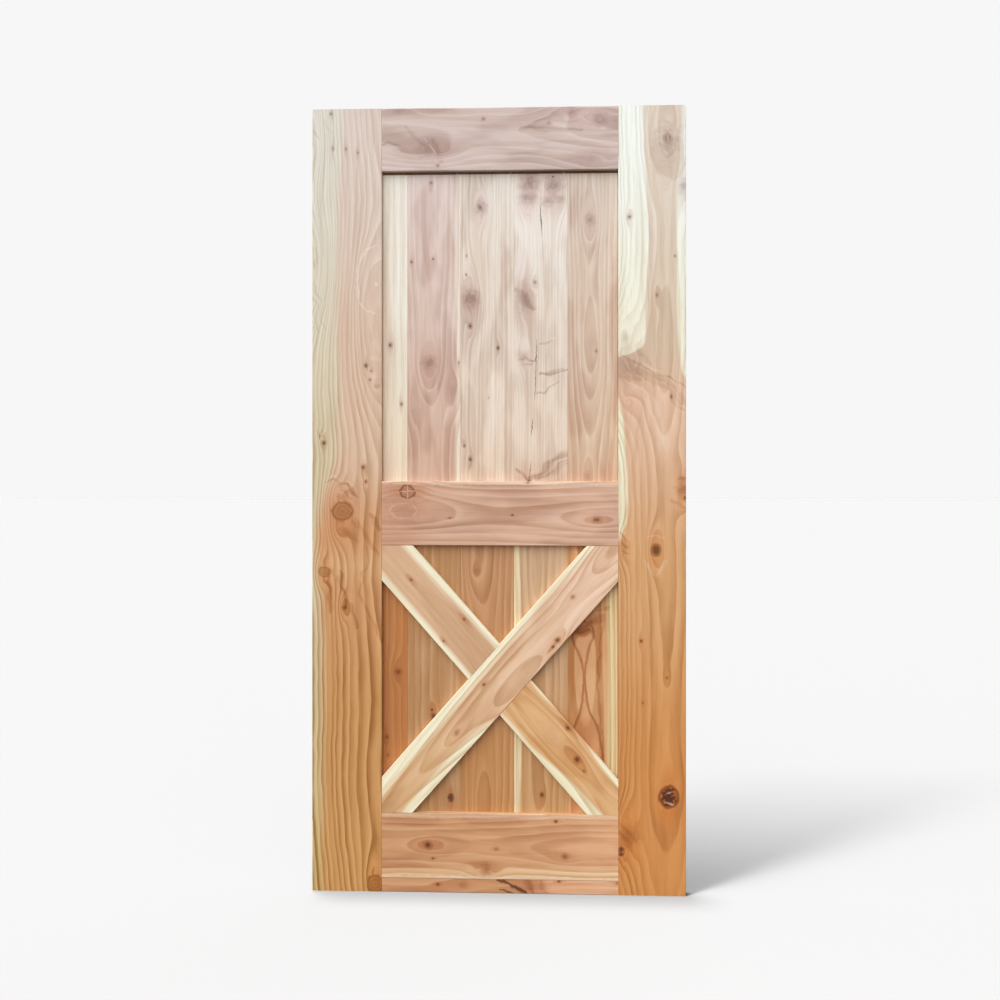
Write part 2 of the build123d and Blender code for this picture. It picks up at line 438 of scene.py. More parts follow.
def edge_line(bench, share, points, length):
    """An edge along a board: a curve through (along, across) points."""
    curve = bench.node("FloatCurve")
    line = curve.mapping.curves[0]
    places = sorted((0.5 + along / length, 0.5 + across / SAP_SPAN) for along, across in points)
    for spot, place in zip(line.points, (places[0], places[-1])):
        spot.location = place
    for place in places[1:-1]:
        line.points.new(*place)
    curve.mapping.update()
    bench.feed(curve.inputs["Value"], share)
    return bench.times(bench.minus(curve.outputs[0], 0.5), SAP_SPAN)


def colour_run(bench, share, stops):
    """One colour, or a list of a few in turn along the board, each after its place from foot to head."""
    if isinstance(stops, tuple):
        return tone(*stops)
    ramp = bench.node("ValToRGB")
    ramp.color_ramp.interpolation = "EASE"
    elements = ramp.color_ramp.elements
    while len(elements) < len(stops):
        elements.new(0.5)
    for element, (place, *colour) in zip(elements, stops):
        element.position = place
        element.color = tone(*colour)
    bench.feed(ramp.inputs[0], share)
    return ramp.outputs[0]


def tints(bench, share, wood):
    """One set of tints, or two that blend from the foot of the board to its head."""
    if isinstance(wood, dict):
        return wood
    foot, head = wood
    height = bench.step(share, *WOOD_CHANGE)
    return {name: bench.blend(height, foot[name], head[name]) for name in foot}


def board_point(bench, middle, grain):
    """Object coordinates turned into millimetres on the board: across, deep and along."""
    turn = Euler((0.0, math.radians(grain - 90.0), 0.0))
    centre = turn.to_matrix() @ Vector((middle[0], 0.0, middle[1]))
    mapping = bench.node("Mapping")
    mapping.inputs["Location"].default_value = -centre
    mapping.inputs["Rotation"].default_value = turn
    mapping.inputs["Scale"].default_value = (MM_PER_M, MM_PER_M, MM_PER_M)
    bench.feed(mapping.inputs["Vector"], bench.node("TexCoord").outputs["Object"])
    return mapping.outputs[0]


def shaken(bench, point, size, amount):
    """The point pushed about a little, so that a straight mark comes out crooked."""
    push = bench.noise(point, scale=1 / size, detail=1.0, out="Color")
    push = bench.vector("SUBTRACT", push, (0.5, 0.5, 0.5))
    return bench.vector("MULTIPLY_ADD", push, (amount, 0.0, amount), point)


def marks(bench, point, lines, firm):
    """Splits or feathers, each from one place to another."""
    mark = 0.0
    for across, along, end_across, end_along, width, dark in lines:
        mark = bench.group(
            streak, point=point, mark=mark, start=(across, 0.0, along),
            end=(end_across, 0.0, end_along), width=width, dark=dark, firm=firm,
        )["Mark"]
    return mark


print("knot kinds:", ", ".join(KNOT_KINDS))

# %% Board finish
# colour multiplied over the upper boards' ends inside the slot under the top rail: painted shade
SLOT_SHADE = (0.40, 0.24, 0.11, 1.0)
TREE_STEP = 137.0
RAGGED_SIZE = 13.0
CRUMB_SIZE = 9.0
FEATHER_SHAKE = (42.0, 34.0)  # size of the wave and how far it pushes, in mm
LINE_SHAKE = (13.0, 9.0)
BRUSH_SIZE = (1.4, 1.4, 40.0)
BRUSH_STRENGTH = 0.3
BRUSH_DEPTH = 0.0005
SHEEN = 0.3


def fir(name, seed, middle, length, grain=90.0, rings=(0, 60, 8, 0.02, 4), contrast=0.5, wood=WARM,
        heart=(), patch=None, sap=(), low=(), high=(), soft=4.0, figure=None, knots=(), splits=(),
        feathers=(), pale=(), slot_shade_from=None):
    """A fir finish for one board, from its recipe.

    A knot is its place across and along, radius, oval, lift of the rings around it, darkness and kind.
    A split, a feather or a pale line is the places of its two ends, its width and its strength.
    """
    material, bench, surface = new_finish("fir_" + name)
    plain = board_point(bench, middle, grain)
    ragged = bench.noise(plain, scale=1 / RAGGED_SIZE, detail=1.0)
    ragged = bench.scaled(ragged, 1.3, -0.65)
    crumbs = 0.0
    if any("hole" in knot_recipe for knot_recipe in knots):
        crumbs = bench.scaled(bench.noise(plain, scale=1 / CRUMB_SIZE, detail=1.0), 2.6, -1.3)
    running = dict.fromkeys(RUNNING, 0.0)
    for across, along, radius, oval, lift, dark, *kind in knots:
        kind = kind[0] if kind else "pin" if radius < 7 else "tight"
        looks = dict(zip((look.lower() for look in KNOT_LOOKS), KNOT_KINDS[kind]))
        running = bench.group(
            knot, point=plain, ragged=ragged, speck=crumbs if kind == "hole" else 0.0, across=across,
            along=along, radius=radius, oval=oval, lift=lift, dark=dark, **looks,
            **{key.lower(): running[key] for key in RUNNING},
        )
    pith, pith_depth, ring, slope, wander = rings
    grown = bench.group(
        growth_rings, point=plain, bend=running["Bend"], draw=running["Draw"], stir=running["Halo"],
        pith=pith, pith_depth=pith_depth, ring=ring, slope=slope, wander=wander, seed=seed * TREE_STEP,
    )
    spots = bench.split(plain)
    share = bench.scaled(spots[2], 1 / length, 0.5)
    heartwood = colour_run(bench, share, heart)
    if patch:
        darker = bench.step(grown["Patch"], 0.44, 0.62)
        heartwood = bench.blend(darker, heartwood, (*patch, 1.0), "MULTIPLY")
    streaky = bench.scaled(grown["Broad"], 20.0, -10.0)
    edge_across = bench.scaled(grown["Flow"], 0.4, streaky)
    edge_across = bench.scaled(spots[0], 0.6, edge_across)
    sapwood = 0.0
    for points, way in ((low, -1.0), (high, 1.0)):
        if points:
            past = bench.minus(edge_across, edge_line(bench, share, points, length))
            sapwood = bench.math("MAXIMUM", sapwood, bench.step(past, -soft * way, 1.6 * soft * way))
    feather = 0.0
    if feathers:
        smeared = marks(bench, shaken(bench, plain, *FEATHER_SHAKE), feathers, 0.6)
        feather = bench.times(smeared, bench.step(grown["Broad"], 0.25, 0.6, 0.45, 1.0))
    if figure:
        left, right, colour = figure
        past_left = bench.minus(spots[0], edge_line(bench, share, left, length))
        past_right = bench.minus(edge_line(bench, share, right, length), spots[0])
        inside = bench.scaled(ragged, 4.0, bench.math("MINIMUM", past_left, past_right))
        heartwood = bench.blend(bench.step(inside, -1.5, 1.5), heartwood, tone(*colour))
        outline = bench.times(bench.step(inside, -3.0, 1.0), bench.step(inside, 10.0, 2.0))
        feather = bench.math("MAXIMUM", feather, bench.times(outline, 0.9))
    split = marks(bench, shaken(bench, plain, *LINE_SHAKE), splits, 1.0) if splits else 0.0
    # Pale lines are light streaks in the grain; a few are painted highlights: along the top edges of the mid
    # and bottom rails and in the right stile's hollow knot.
    light = marks(bench, shaken(bench, plain, *LINE_SHAKE), pale, 0.8) if pale else 0.0
    if isinstance(contrast, tuple):
        contrast = bench.step(share, 0.2, 0.75, *contrast)
    finish = bench.group(
        fir_colour, heartwood=heartwood, sap=colour_run(bench, share, sap or heart), sapwood=sapwood,
        late=grown["Late"], early=grown["Early"], fibre=grown["Fibre"], broad=grown["Broad"],
        core=running["Core"], rim=running["Rim"], heart=running["Heart"], halo=running["Halo"],
        split=split, feather=feather, pale=light, contrast=contrast, **tints(bench, share, wood),
    )
    colour = finish["Colour"]
    # Painted shade: from this height on, the board's colour is multiplied by the slot colour where its end
    # runs up into the slot under the top rail.
    if slot_shade_from:
        in_slot_shade = bench.step(spots[2], slot_shade_from - 0.5, slot_shade_from + 0.5)
        colour = bench.blend(in_slot_shade, colour, SLOT_SHADE, "MULTIPLY")
    bench.feed(surface["Base Color"], colour)
    bench.feed(surface["Roughness"], finish["Roughness"])
    brushed = bench.noise(bench.vector("DIVIDE", plain, BRUSH_SIZE), detail=1.0)
    bump = bench.node("Bump")
    bump.inputs["Strength"].default_value = BRUSH_STRENGTH
    bump.inputs["Distance"].default_value = BRUSH_DEPTH
    bench.feed(bump.inputs["Height"], brushed)
    bench.feed(surface["Normal"], bump.outputs["Normal"])
    surface["Specular IOR Level"].default_value = SHEEN
    nodes[name].data.materials.clear()
    nodes[name].data.materials.append(material)
    print(name, "-", len(knots), "knots,", len(material.node_tree.nodes), "nodes")


print("board finish ready")

# %% [markdown]
# ## The stiles
#
# Two wide boards, paler towards the top. The left one is all long, wavy lines, with its pith just off its
# right edge, a large knot half way up and sapwood down its left side. The right one has a pointed
# arch figure, nearly white sapwood above a swirl round a branch, and a hollow knot low down. The hollow
# is not cut into the solid: its dark heart is partly its own dark wood and partly painted shade, and two
# pale strokes in it are painted highlights.

# %% Stiles
STILE_MIDDLE = 1067.0
STILE_LENGTH = 2134.0
fir(
    "left_stile", 1, (-412.5, STILE_MIDDLE), STILE_LENGTH,
    rings=(126, 150, 9.5, 0.02, 10), contrast=(0.85, 0.42), wood=(AMBER, PALE), soft=16.0,
    heart=[
        (0.0, 206, 153, 94), (0.22, 201, 148, 91), (0.38, 206, 152, 104), (0.415, 216, 169, 123),
        (0.45, 209, 155, 110), (0.57, 217, 186, 161), (1.0, 219, 204, 194),
    ],
    sap=[(0.0, 203, 176, 122), (0.5, 213, 198, 166), (1.0, 220, 217, 205)],
    low=[
        (1065, -10), (819, -22), (546, -26), (191, -20), (69, -45), (-54, -70), (-164, -80), (-286, -66),
        (-1037, -64),
    ],
    knots=[
        (-44, 1054, 6, 1, 4, 0.45), (-38, 959, 6, 1.6, 5, 0.45), (-3, 958, 4.6, 1.5, 4, 0.5),
        (30, 947, 4.4, 1.2, 4, 0.5), (80, 554, 36, 1.6, 20, 0), (52, 366, 6.3, 1.2, 6, 0.75),
        (66, 352, 4.4, 1, 3, 0.6), (63, 328, 4.4, 1, 3, 0.6), (83, 311, 8.7, 0.6, 6, 0.35),
        (-63, 156, 7.1, 1.2, 9, 0.8, "pin"), (-74, 175, 3.8, 1, 3, 0.5), (44, 90, 6.3, 1.2, 6, 0.75),
        (52, 50, 5.2, 1.3, 5, 0.7), (-12, -30, 28.6, 0.86, 30, 0.9), (-63, -196, 15.8, 0.9, 16, 0.8),
        (-5, -294, 9.8, 1, 20, 0.8, "pin"), (77, -1046, 21.8, 1.1, 16, 0.9), (-108, 990, 32, 1.2, -32, 0),
        (-108, 630, 36, 1.3, -40, 0),
    ],
    feathers=[
        (-92, 1016, -76, 985, 8, 0.5), (-65, 1040, -40, 998, 9, 0.3), (-92, 684, -78, 642, 8, 0.6),
        (-92, 660, -84, 634, 7, 0.5), (-90, 596, -72, 530, 8, 0.5), (-72, 530, -60, 470, 8, 0.4),
        (-92, 560, -76, 460, 8, 0.5), (-80, 188, -72, 164, 5, 0.6), (-68, 190, -58, 166, 5, 0.6),
        (-58, 48, -34, 58, 13, 0.6), (-34, 58, -6, 46, 13, 0.6), (-6, 46, 34, 6, 16, 0.7),
        (-20, 26, 18, 2, 12, 0.5), (-20, -84, 30, -112, 28, 0.25), (12, -60, 60, -96, 26, 0.3),
        (62, -40, 92, -78, 24, 0.6), (24, -52, 92, -156, 22, 0.4), (-46, -208, -44, -306, 22, 0.6),
        (-24, -194, -16, -240, 20, 0.7), (-16, -240, 4, -284, 20, 0.8), (16, -275, 22, -351, 18, 0.6),
        (60, -129, 36, -250, 15, 0.35), (36, -250, 92, -392, 18, 0.4),
    ],
    pale=[
        (28, 590, 32, 640, 11, 0.75), (32, 640, 50, 680, 11, 0.75), (50, 680, 84, 696, 10, 0.6),
        (28, 590, 32, 545, 11, 0.75), (32, 545, 50, 518, 11, 0.7), (50, 518, 84, 508, 10, 0.6),
        (78, 592, 84, 586, 18, 0.8), (-50, 60, -28, 68, 6, 0.5), (-6, 58, 22, 34, 6, 0.5),
        (64, 388, 90, 384, 22, 0.35), (60, 362, 70, 330, 12, 0.4),
    ],
)
fir(
    "right_stile", 2, (417.0, STILE_MIDDLE), STILE_LENGTH,
    rings=(38, 45, 12, 0.03, 10), contrast=(0.65, 0.45), wood=(AMBER, PALE),
    heart=[
        (0.0, 211, 144, 81), (0.16, 208, 143, 80), (0.40, 215, 164, 114), (0.62, 226, 190, 163),
        (0.71, 214, 192, 168), (0.90, 226, 215, 199),
    ],
    sap=[(0.0, 234, 206, 150), (0.55, 240, 234, 206), (1.0, 243, 249, 242)],
    low=[
        (1071, -22), (447, -22), (401, -49), (348, -108), (277, -80), (164, -67), (-52, -69), (-120, -86),
        (-188, -110), (-1053, -110),
    ],
    high=[(1070, 72), (406, 72), (347, 83), (285, 110), (-1049, 110)],
    knots=[
        (42, 978, 13, 1.1, 24, 0.75, "onion"), (42, 965, 36, 1.4, 0, 0.6, "smudge"),
        (-61, 766, 8.2, 1.1, 6, 0.75, "pin"), (61, 660, 4.4, 1.2, 4, 0.5), (13, 555, 5.7, 1.6, 6, 0.5),
        (86, 846, 15, 1.6, 8, 0.8, "smudge"), (-73, 442, 9.8, 1.3, 8, 0.4, "smudge"),
        (-65, 364, 40, 1.1, 44, 0.5, "smudge"), (51, 280, 4.1, 1.5, 3, 0.7),
        (85, 30, 19, 1.3, 18, 1.0, "smudge"), (88, 8, 7.5, 1.3, 5, 0.9, "pin"),
        (10, -133, 14.5, 1.25, 20, 1.0, "onion"), (-73, -125, 13.6, 1.2, 14, 0.45, "smudge"),
        (-30, -379, 5.7, 1.1, 6, 0.85), (40, -478, 5.7, 1, 5, 0.6), (-25, -546, 3.5, 1, 2, 0.5),
        (45, -799, 26.1, 1.1, 3, 1, "hole"), (-62, -908, 27.2, 1, 26, 0.65, "smudge"),
        (-84, -949, 9.2, 1.3, 8, 0.85, "hole"),
    ],
    feathers=[
        (-95, 376, -40, 352, 64, 0.5), (-95, 340, -30, 330, 46, 0.45), (-40, 350, 30, 330, 44, 0.5),
        (30, 330, 92, 262, 34, 0.45), (-40, 405, -5, 372, 24, 0.35), (-84, 392, -40, 372, 11, 0.7),
        (-40, 372, 6, 350, 11, 0.7), (6, 350, 56, 332, 10, 0.6), (56, 332, 92, 296, 10, 0.5),
        (-62, 372, -24, 338, 10, 0.7), (-24, 338, 2, 310, 9, 0.5), (-90, -92, -70, -108, 9, 0.6),
        (-88, -112, -60, -122, 9, 0.6), (-80, -136, -50, -138, 9, 0.5), (-88, -868, -40, -925, 24, 0.45),
        (-92, -890, -52, -940, 22, 0.45), (-10, 330, 40, 300, 22, 0.4), (40, 300, 85, 245, 20, 0.35),
        (66, 52, 95, 62, 16, 0.6), (56, -4, 92, -24, 16, 0.5),
    ],
    pale=[
        (-14, -100, 10, -92, 12, 0.35), (10, -92, 34, -104, 12, 0.3), (-22, -160, 8, -205, 16, 0.35),
        (38, -160, 12, -205, 16, 0.35), (0, 280, 25, 215, 30, 0.35), (25, 215, 36, 140, 30, 0.35),
        (-88, 332, -40, 306, 9, 0.4), (-30, 368, 30, 346, 7, 0.4), (30, 340, 84, 262, 7, 0.35),
        (-74, 384, -60, 352, 9, 0.45), (-24, 290, -10, 250, 7, 0.4), (-10, 250, 16, 205, 7, 0.4),
        (16, 205, 22, 133, 7, 0.4), (56, 229, 50, 170, 7, 0.35), (50, 170, 34, 112, 7, 0.35),
        # the last two strokes are painted highlights inside the hollow knot
        (42, 986, 44, 968, 14, 0.8), (34, -816, 58, -820, 10, 0.9), (36, -790, 54, -786, 7, 0.7),
    ],
)

# %% [markdown]
# ## The rails and the foot strip
#
# Between the stiles the grain runs level. The top rail is mauve, the mid rail pink with a dark loose
# knot at its left end, and the bottom rail orange with a pale sapwood edge at its foot. The strip under it
# has a bark pocket. Along the top edges of the mid and bottom rails, a cream strip and a long pale line are a
# painted highlight, where light from above falls on the edge.

# %% Rails
RAIL_LENGTH = 643.0
fir(
    "top_rail", 3, (4.5, 2048.5), RAIL_LENGTH, 0.0, rings=(-20, 60, 12, 0.03, 7), wood=PALE,
    heart=(211, 192, 185), patch=(0.85, 0.81, 0.80),
    knots=[
        (28, -195, 25.8, 1.1, 16, 0.5, "smudge"), (72, -168, 5.4, 1.2, 3, 0.5),
        (-54, -45, 7.1, 1.2, 5, 0.45, "pin"), (-73, 194, 13.6, 1.4, 9, 0.6, "smudge"),
        (-50, 272, 21.8, 1.3, 14, 0.65, "smudge"), (-41, 134, 7.1, 1.3, 5, 0.3, "pin"),
        (-76, -277, 10.9, 1.4, 8, 0.35, "smudge"), (60, 250, 19, 1.4, 8, 0.25, "smudge"),
    ],
    feathers=[
        (9, -330, 19, -262, 10, 0.6), (-31, -254, 16, -208, 24, 0.4), (0, -178, 60, -160, 22, 0.4),
        (-26, 60, -20, 220, 24, 0.45), (-48, 90, -40, 190, 14, 0.3),
    ],
    pale=[(-6, -206, 8, -196, 6, 0.7), (12, -192, 42, -172, 7, 0.7), (-60, 215, -40, 245, 7, 0.4)],
)
fir(
    "mid_rail", 4, (4.5, 1031.0), RAIL_LENGTH, 0.0, rings=(5, 40, 13, 0.02, 5), contrast=0.6,
    heart=[(0.06, 205, 159, 133), (0.3, 214, 175, 151), (1.0, 219, 180, 157)], patch=(0.88, 0.84, 0.85),
    # The cream strip along the top edge (sap colour, low edge) is a painted highlight where light from above
    # falls on the edge.
    sap=(232, 197, 172), low=[(-321, -79), (321, -79)],
    knots=[
        (-60, -251, 18, 1.1, 15, 0.85, "loose"), (-9, -261, 30, 1.5, 24, 0.3, "smudge"),
        (12, -135, 3.5, 1.2, 2, 0.7), (4, 35, 4.1, 1.2, 3, 0.7), (-84, 77, 4.1, 1.2, 2, 0.9),
        (17, 264, 10.3, 1.5, 16, 0.65, "pin"),
    ],
    pale=[
        # The long pale line at -82 is a painted highlight along the top edge; the two short lines before it
        # make the pale cross on the loose knot.
        (-78, -251, -40, -251, 4, 0.9), (-60, -275, -60, -228, 4, 0.9), (-82, -420, -82, 420, 16, 0.75),
        (-9, -303, -26, -285, 6, 0.4), (-26, -285, -28, -240, 6, 0.4), (-28, -240, -8, -222, 6, 0.4),
        (-8, -222, 10, -240, 6, 0.4), (10, -240, 14, -280, 6, 0.4), (14, -280, -9, -303, 6, 0.4),
    ],
)
fir(
    "bottom_rail", 5, (4.5, 127.0), RAIL_LENGTH, 0.0, rings=(0, 45, 12, 0.02, 5), contrast=0.6,
    heart=[(0.0, 204, 153, 112), (0.5, 211, 160, 117), (1.0, 223, 172, 131)], patch=(0.88, 0.81, 0.78),
    # The cream strip along the top edge (low edge) is a painted highlight on the lit ledge; the sapwood along
    # the lower edge (high) is the board's own.
    sap=[(0.0, 218, 176, 133), (1.0, 232, 193, 152)], low=[(-321, -82), (321, -82)],
    high=[(-315, 60), (318, 51)], soft=6.0,
    knots=[
        (-2, -195, 12.5, 1, 12, 0.85, "pin"), (-3, -165, 16.3, 1.2, 8, 0), (34, -181, 4.1, 1.2, 2, 0.8),
        (64, -37, 15.8, 0.9, 10, 0.85, "smudge"), (-71, 153, 5.2, 1.1, 3, 0.8),
        (25, 177, 9.8, 1.1, 10, 0.5, "pin"), (6, -10, 6.5, 1.6, 4, 0.35),
    ],
    # The pale line at -82 is a painted highlight along the top edge; the one at 86 is pale sapwood at the
    # foot.
    pale=[(-82, -420, -82, 420, 20, 0.5), (86, -420, 86, 420, 18, 0.75)],
)
fir(
    "foot_strip", 6, (4.5, 19.0), RAIL_LENGTH, 0.0, rings=(30, 40, 11, 0.02, 4), contrast=0.6,
    heart=[
        (0.0, 210, 157, 117), (0.45, 206, 152, 108), (0.63, 192, 130, 90), (0.74, 225, 170, 132),
        (1.0, 230, 181, 142),
    ],
    patch=(0.92, 0.84, 0.80),
    knots=[
        (-3, -168, 5.2, 1.2, 3, 0.9), (-5, -102, 10.9, 1.3, 5, 0.5, "smudge"), (-16, 161, 4.4, 1.6, 1, 0.7),
        (-14, 318, 6.5, 1, 3, 0.5),
    ],
    splits=[(-18, -8, -7, 30, 14, 0.9), (-10, 20, 19, 76, 18, 0.95), (8, 0, 19, 40, 10, 0.8)],
    feathers=[(-19, 77, 19, 91, 22, 0.7), (-19, 110, 16, 126, 22, 0.5)],
)

# %% [markdown]
# ## The upper boards
#
# Five pale boards, paler than those of the lower opening. The third and fourth are straight-grained with fine
# lines, and the fourth has drying splits and feathers beside them. The second and fifth are pinker, with
# knots and pointed arches. All have dropped a little, and where their ends run up into the slot under the top
# rail their colour is painted dark as painted shade.
# The boards of both openings stand in line, so one helper places them.

# %% Upper boards
BOARD_MIDDLES = (-282.5, -175.8, -29.8, 116.2, 257.2)
ROWS = {  # middle and length in mm, number of the tree before the first board, what the boards share
    # the upper boards are painted darker from 419 mm above their middle, as painted shade in the slot under
    # the top rail
    "upper": (1537.0, 838.0, 6, {"wood": PALE, "slot_shade_from": 419.0}),
    "lower": (580.0, 728.0, 11, {}),
}


def board(row, number, **recipe):
    """One of the five boards of a row, counted from the left."""
    height, length, tree, shared = ROWS[row]
    place = (BOARD_MIDDLES[number - 1], height)
    fir(f"{row}_board_{number}", tree + number, place, length, **shared, **recipe)


board(
    "upper", 1, rings=(150, 40, 20, 0.01, 6), contrast=0.35,
    heart=[(0.0, 235, 207, 182), (0.2, 241, 224, 200), (0.5, 242, 227, 207), (1.0, 244, 239, 225)],
    sap=[(0.0, 237, 218, 191), (0.4, 233, 223, 205), (0.6, 240, 235, 222), (1.0, 239, 233, 222)],
    high=[(-419, -10), (419, -16)], soft=8.0,
    knots=[(-14, -46, 7.9, 1.2, 6, 0.8, "pin"), (17, -207, 5.4, 1.5, 5, 0.7)],
)
board(
    "upper", 2, rings=(-10, 45, 12, 0.03, 5),
    heart=[(0.0, 215, 180, 158), (0.35, 214, 185, 170), (0.55, 221, 199, 189), (1.0, 226, 209, 203)],
    patch=(0.85, 0.79, 0.77), sap=[(0.0, 230, 210, 190), (1.0, 234, 224, 212)],
    high=[(-419, 54), (0, 57), (419, 62)],
    knots=[
        (-14, -95, 16.9, 1.1, 26, 0.8, "smudge"), (-14, -95, 8, 1.1, 0, 0.45), (-8, 397, 5.7, 1.3, 4, 0.55),
        (-62, 181, 4.4, 1.1, 3, 0.85), (-3, 189, 3.8, 1.1, 3, 0.8), (68, -95, 3.3, 1.6, 2, 0.7),
        (52, -177, 19, 1.1, 12, 0.3, "smudge"), (-56, -226, 12.2, 1.4, 8, 0.25, "smudge"),
    ],
)
board(
    "upper", 3, rings=(-140, 30, 11, 0.01, 6),
    heart=[(0.0, 230, 207, 185), (0.3, 236, 221, 206), (0.55, 229, 215, 202), (1.0, 233, 225, 215)],
    patch=(0.85, 0.80, 0.77),
    knots=[
        (-19, 330, 16.3, 1.1, 16, 1.0, "smudge"), (-19, 330, 7, 1.2, 0, 0.7, "pin"),
        (-47, 82, 21, 1.2, 18, 1.0, "smudge"), (-47, 5, 7.3, 1.2, 7, 0.85, "pin"),
        (29, -55, 5.7, 1.3, 5, 0.85), (-58, 145, 3.5, 1.3, 3, 0.75), (-57, 197, 3.5, 1.8, 3, 0.45),
        (-63, -322, 4.9, 1.3, 4, 0.7), (-47, -358, 6.5, 1.3, 6, 0.85), (3, -191, 3.3, 1, 2, 0.45),
    ],
)
board(
    "upper", 4, rings=(200, 20, 8, 0.004, 3), contrast=0.35,
    heart=[(0.0, 218, 191, 169), (0.15, 231, 213, 195), (0.5, 231, 219, 206), (0.8, 237, 229, 220)],
    patch=(0.90, 0.86, 0.84),
    knots=[
        (33, 410, 4.4, 1, 3, 0.85), (-16, 123, 8.2, 1, 6, 0.5, "pin"), (-43, 78, 24, 1.5, 12, 0.6, "smudge"),
        (-46, -77, 16.3, 0.8, 10, 0.4, "smudge"), (-32, -420, 6, 1.2, 4, 0.9),
        (-30, 395, 24, 1.1, 0, 0.95, "smudge"), (34, 388, 26, 1.0, 0, 0.9, "smudge"),
        (-34, 352, 22, 0.8, 0, 0.9, "smudge"), (20, 345, 22, 0.7, 0, 0.75, "smudge"),
        (50, 350, 16, 0.9, 0, 0.7, "smudge"),
    ],
    splits=[
        (-2, 334, 3, 250, 4.4, 0.8), (-11, -28, -16, -197, 3.6, 0.85), (-21, -246, -27, -298, 3.8, 0.8),
        (-27, -366, -32, -415, 3.4, 0.7),
    ],
    feathers=[
        (-2, -130, 73, -111, 17, 1.0), (8, -122, 60, -106, 10, 0.6), (-8, -186, 46, -152, 13, 0.7),
        (-2, -46, 34, -30, 13, 0.7), (-60, -84, -40, -76, 17, 0.8), (-40, -76, -18, -92, 17, 0.8),
        (-52, -98, -24, -98, 12, 0.6), (-30, -418, 30, -366, 26, 1.0), (30, -366, 76, -334, 24, 1.0),
        (-20, -415, 30, -388, 20, 0.9), (30, -388, 74, -356, 18, 0.8), (-20, -412, 74, -370, 34, 0.5),
        (-30, -418, -66, -385, 20, 1.0), (-68, 106, -21, 54, 36, 0.7),
    ],
    pale=[(4, -44, 44, -26, 9, 0.6), (30, -122, 66, -116, 6, 0.6), (6, 405, 4, 345, 12, 0.5)],
)
board(
    "upper", 5, rings=(-8, 36, 12, 0.03, 4),
    heart=[(0.0, 215, 178, 149), (0.15, 217, 189, 162), (0.45, 219, 197, 178), (1.0, 218, 203, 190)],
    patch=(0.87, 0.79, 0.77),
    knots=[
        (-7, 292, 12, 1.3, 18, 0.85, "smudge"), (9, -64, 5.2, 1.5, 5, 0.6), (-5, -42, 13.6, 2.4, 10, 0),
        (-13, -407, 12.2, 1.2, 12, 0.5, "smudge"),
    ],
)

# %% [markdown]
# ## The lower boards
#
# Five orange boards behind the brace. The fourth has a cream edge. The fifth has a figure like an
# hourglass, outlined in red brown under a dark branch, and a sapwood strip near the stile.

# %% Lower boards
board(
    "lower", 1, rings=(60, 40, 18, 0.02, 6), contrast=0.35,
    heart=(189, 124, 70), patch=(1.02, 1.05, 1.08),
    knots=[
        (8, 16, 11.4, 1, 12, 0.6, "pin"), (-23, -162, 6.5, 1.2, 4, 0.5), (-20, -212, 5.4, 1.2, 4, 0.45),
        (-12, -253, 9.5, 1, 6, 0.5, "pin"),
    ],
)
board(
    "lower", 2, rings=(-150, 30, 24, 0.02, 8),
    heart=(185, 138, 93), patch=(1.10, 1.19, 1.36),
    knots=[
        (-2, -106, 9.5, 1.4, 10, 0.9, "pin"), (-6, -87, 4.9, 1, 3, 0.8),
        (46, -327, 8.7, 1.3, 8, 0.85, "hole"),
    ],
)
board(
    "lower", 3, rings=(-5, 38, 16, 0.035, 5), contrast=0.7,
    heart=[(0.0, 193, 138, 86), (1.0, 194, 144, 103)],
    knots=[(-26, 324, 19, 1.5, 24, 0), (-28, 293, 9.2, 0.7, 6, 0.4, "smudge"), (-9, -348, 16.3, 1.6, 20, 0)],
)
board(
    "lower", 4, rings=(-10, 38, 15, 0.03, 5), contrast=0.6,
    heart=[(0.0, 197, 150, 101), (1.0, 207, 171, 137)], sap=(234, 216, 178),
    low=[(-364, -58), (364, -56)], soft=5.0,
    knots=[(3, -316, 7.3, 1.1, 8, 1, "pin"), (-11, 275, 10.9, 2.2, 10, 0)],
)
board(
    "lower", 5, rings=(-22, 34, 13, 0.0, 3), contrast=0.9,
    heart=(213, 162, 114), patch=(0.90, 0.80, 0.70), sap=(225, 205, 158),
    high=[(-364, 38), (364, 36)], soft=5.0,
    figure=(
        [(364, -25), (165, -27), (140, -50), (118, -57), (71, -41), (36, -30), (0, -26), (-35, -29),
         (-81, -35), (-140, -54), (-364, -76)],
        [(364, -26), (165, -25), (140, 2), (118, 4), (95, -5), (54, -14), (19, -19), (-35, -16), (-81, -8),
         (-140, 18), (-364, 34)],
        (211, 153, 107),
    ),
    knots=[(-21, -15, 30, 2.6, -30, 0), (-24, 150, 12, 0.8, 10, 0.4, "smudge")],
    feathers=[
        (-48, 128, -20, 138, 34, 0.9), (-20, 138, 24, 172, 34, 0.9), (16, 186, 42, 196, 20, 0.5),
        (-42, 128, -8, 132, 24, 1.0), (0, 152, 30, 168, 22, 0.9), (30, 176, 20, 84, 13, 0.6),
        (20, 84, 13, 0, 13, 0.6), (13, 0, 22, -209, 13, 0.6),
    ],
)

# %% [markdown]
# ## The braces
#
# The crossed pieces are pink to orange with cream sapwood along their edges, and their grain follows the
# slope: one angle for the long brace and its mirror image for the two short ones.

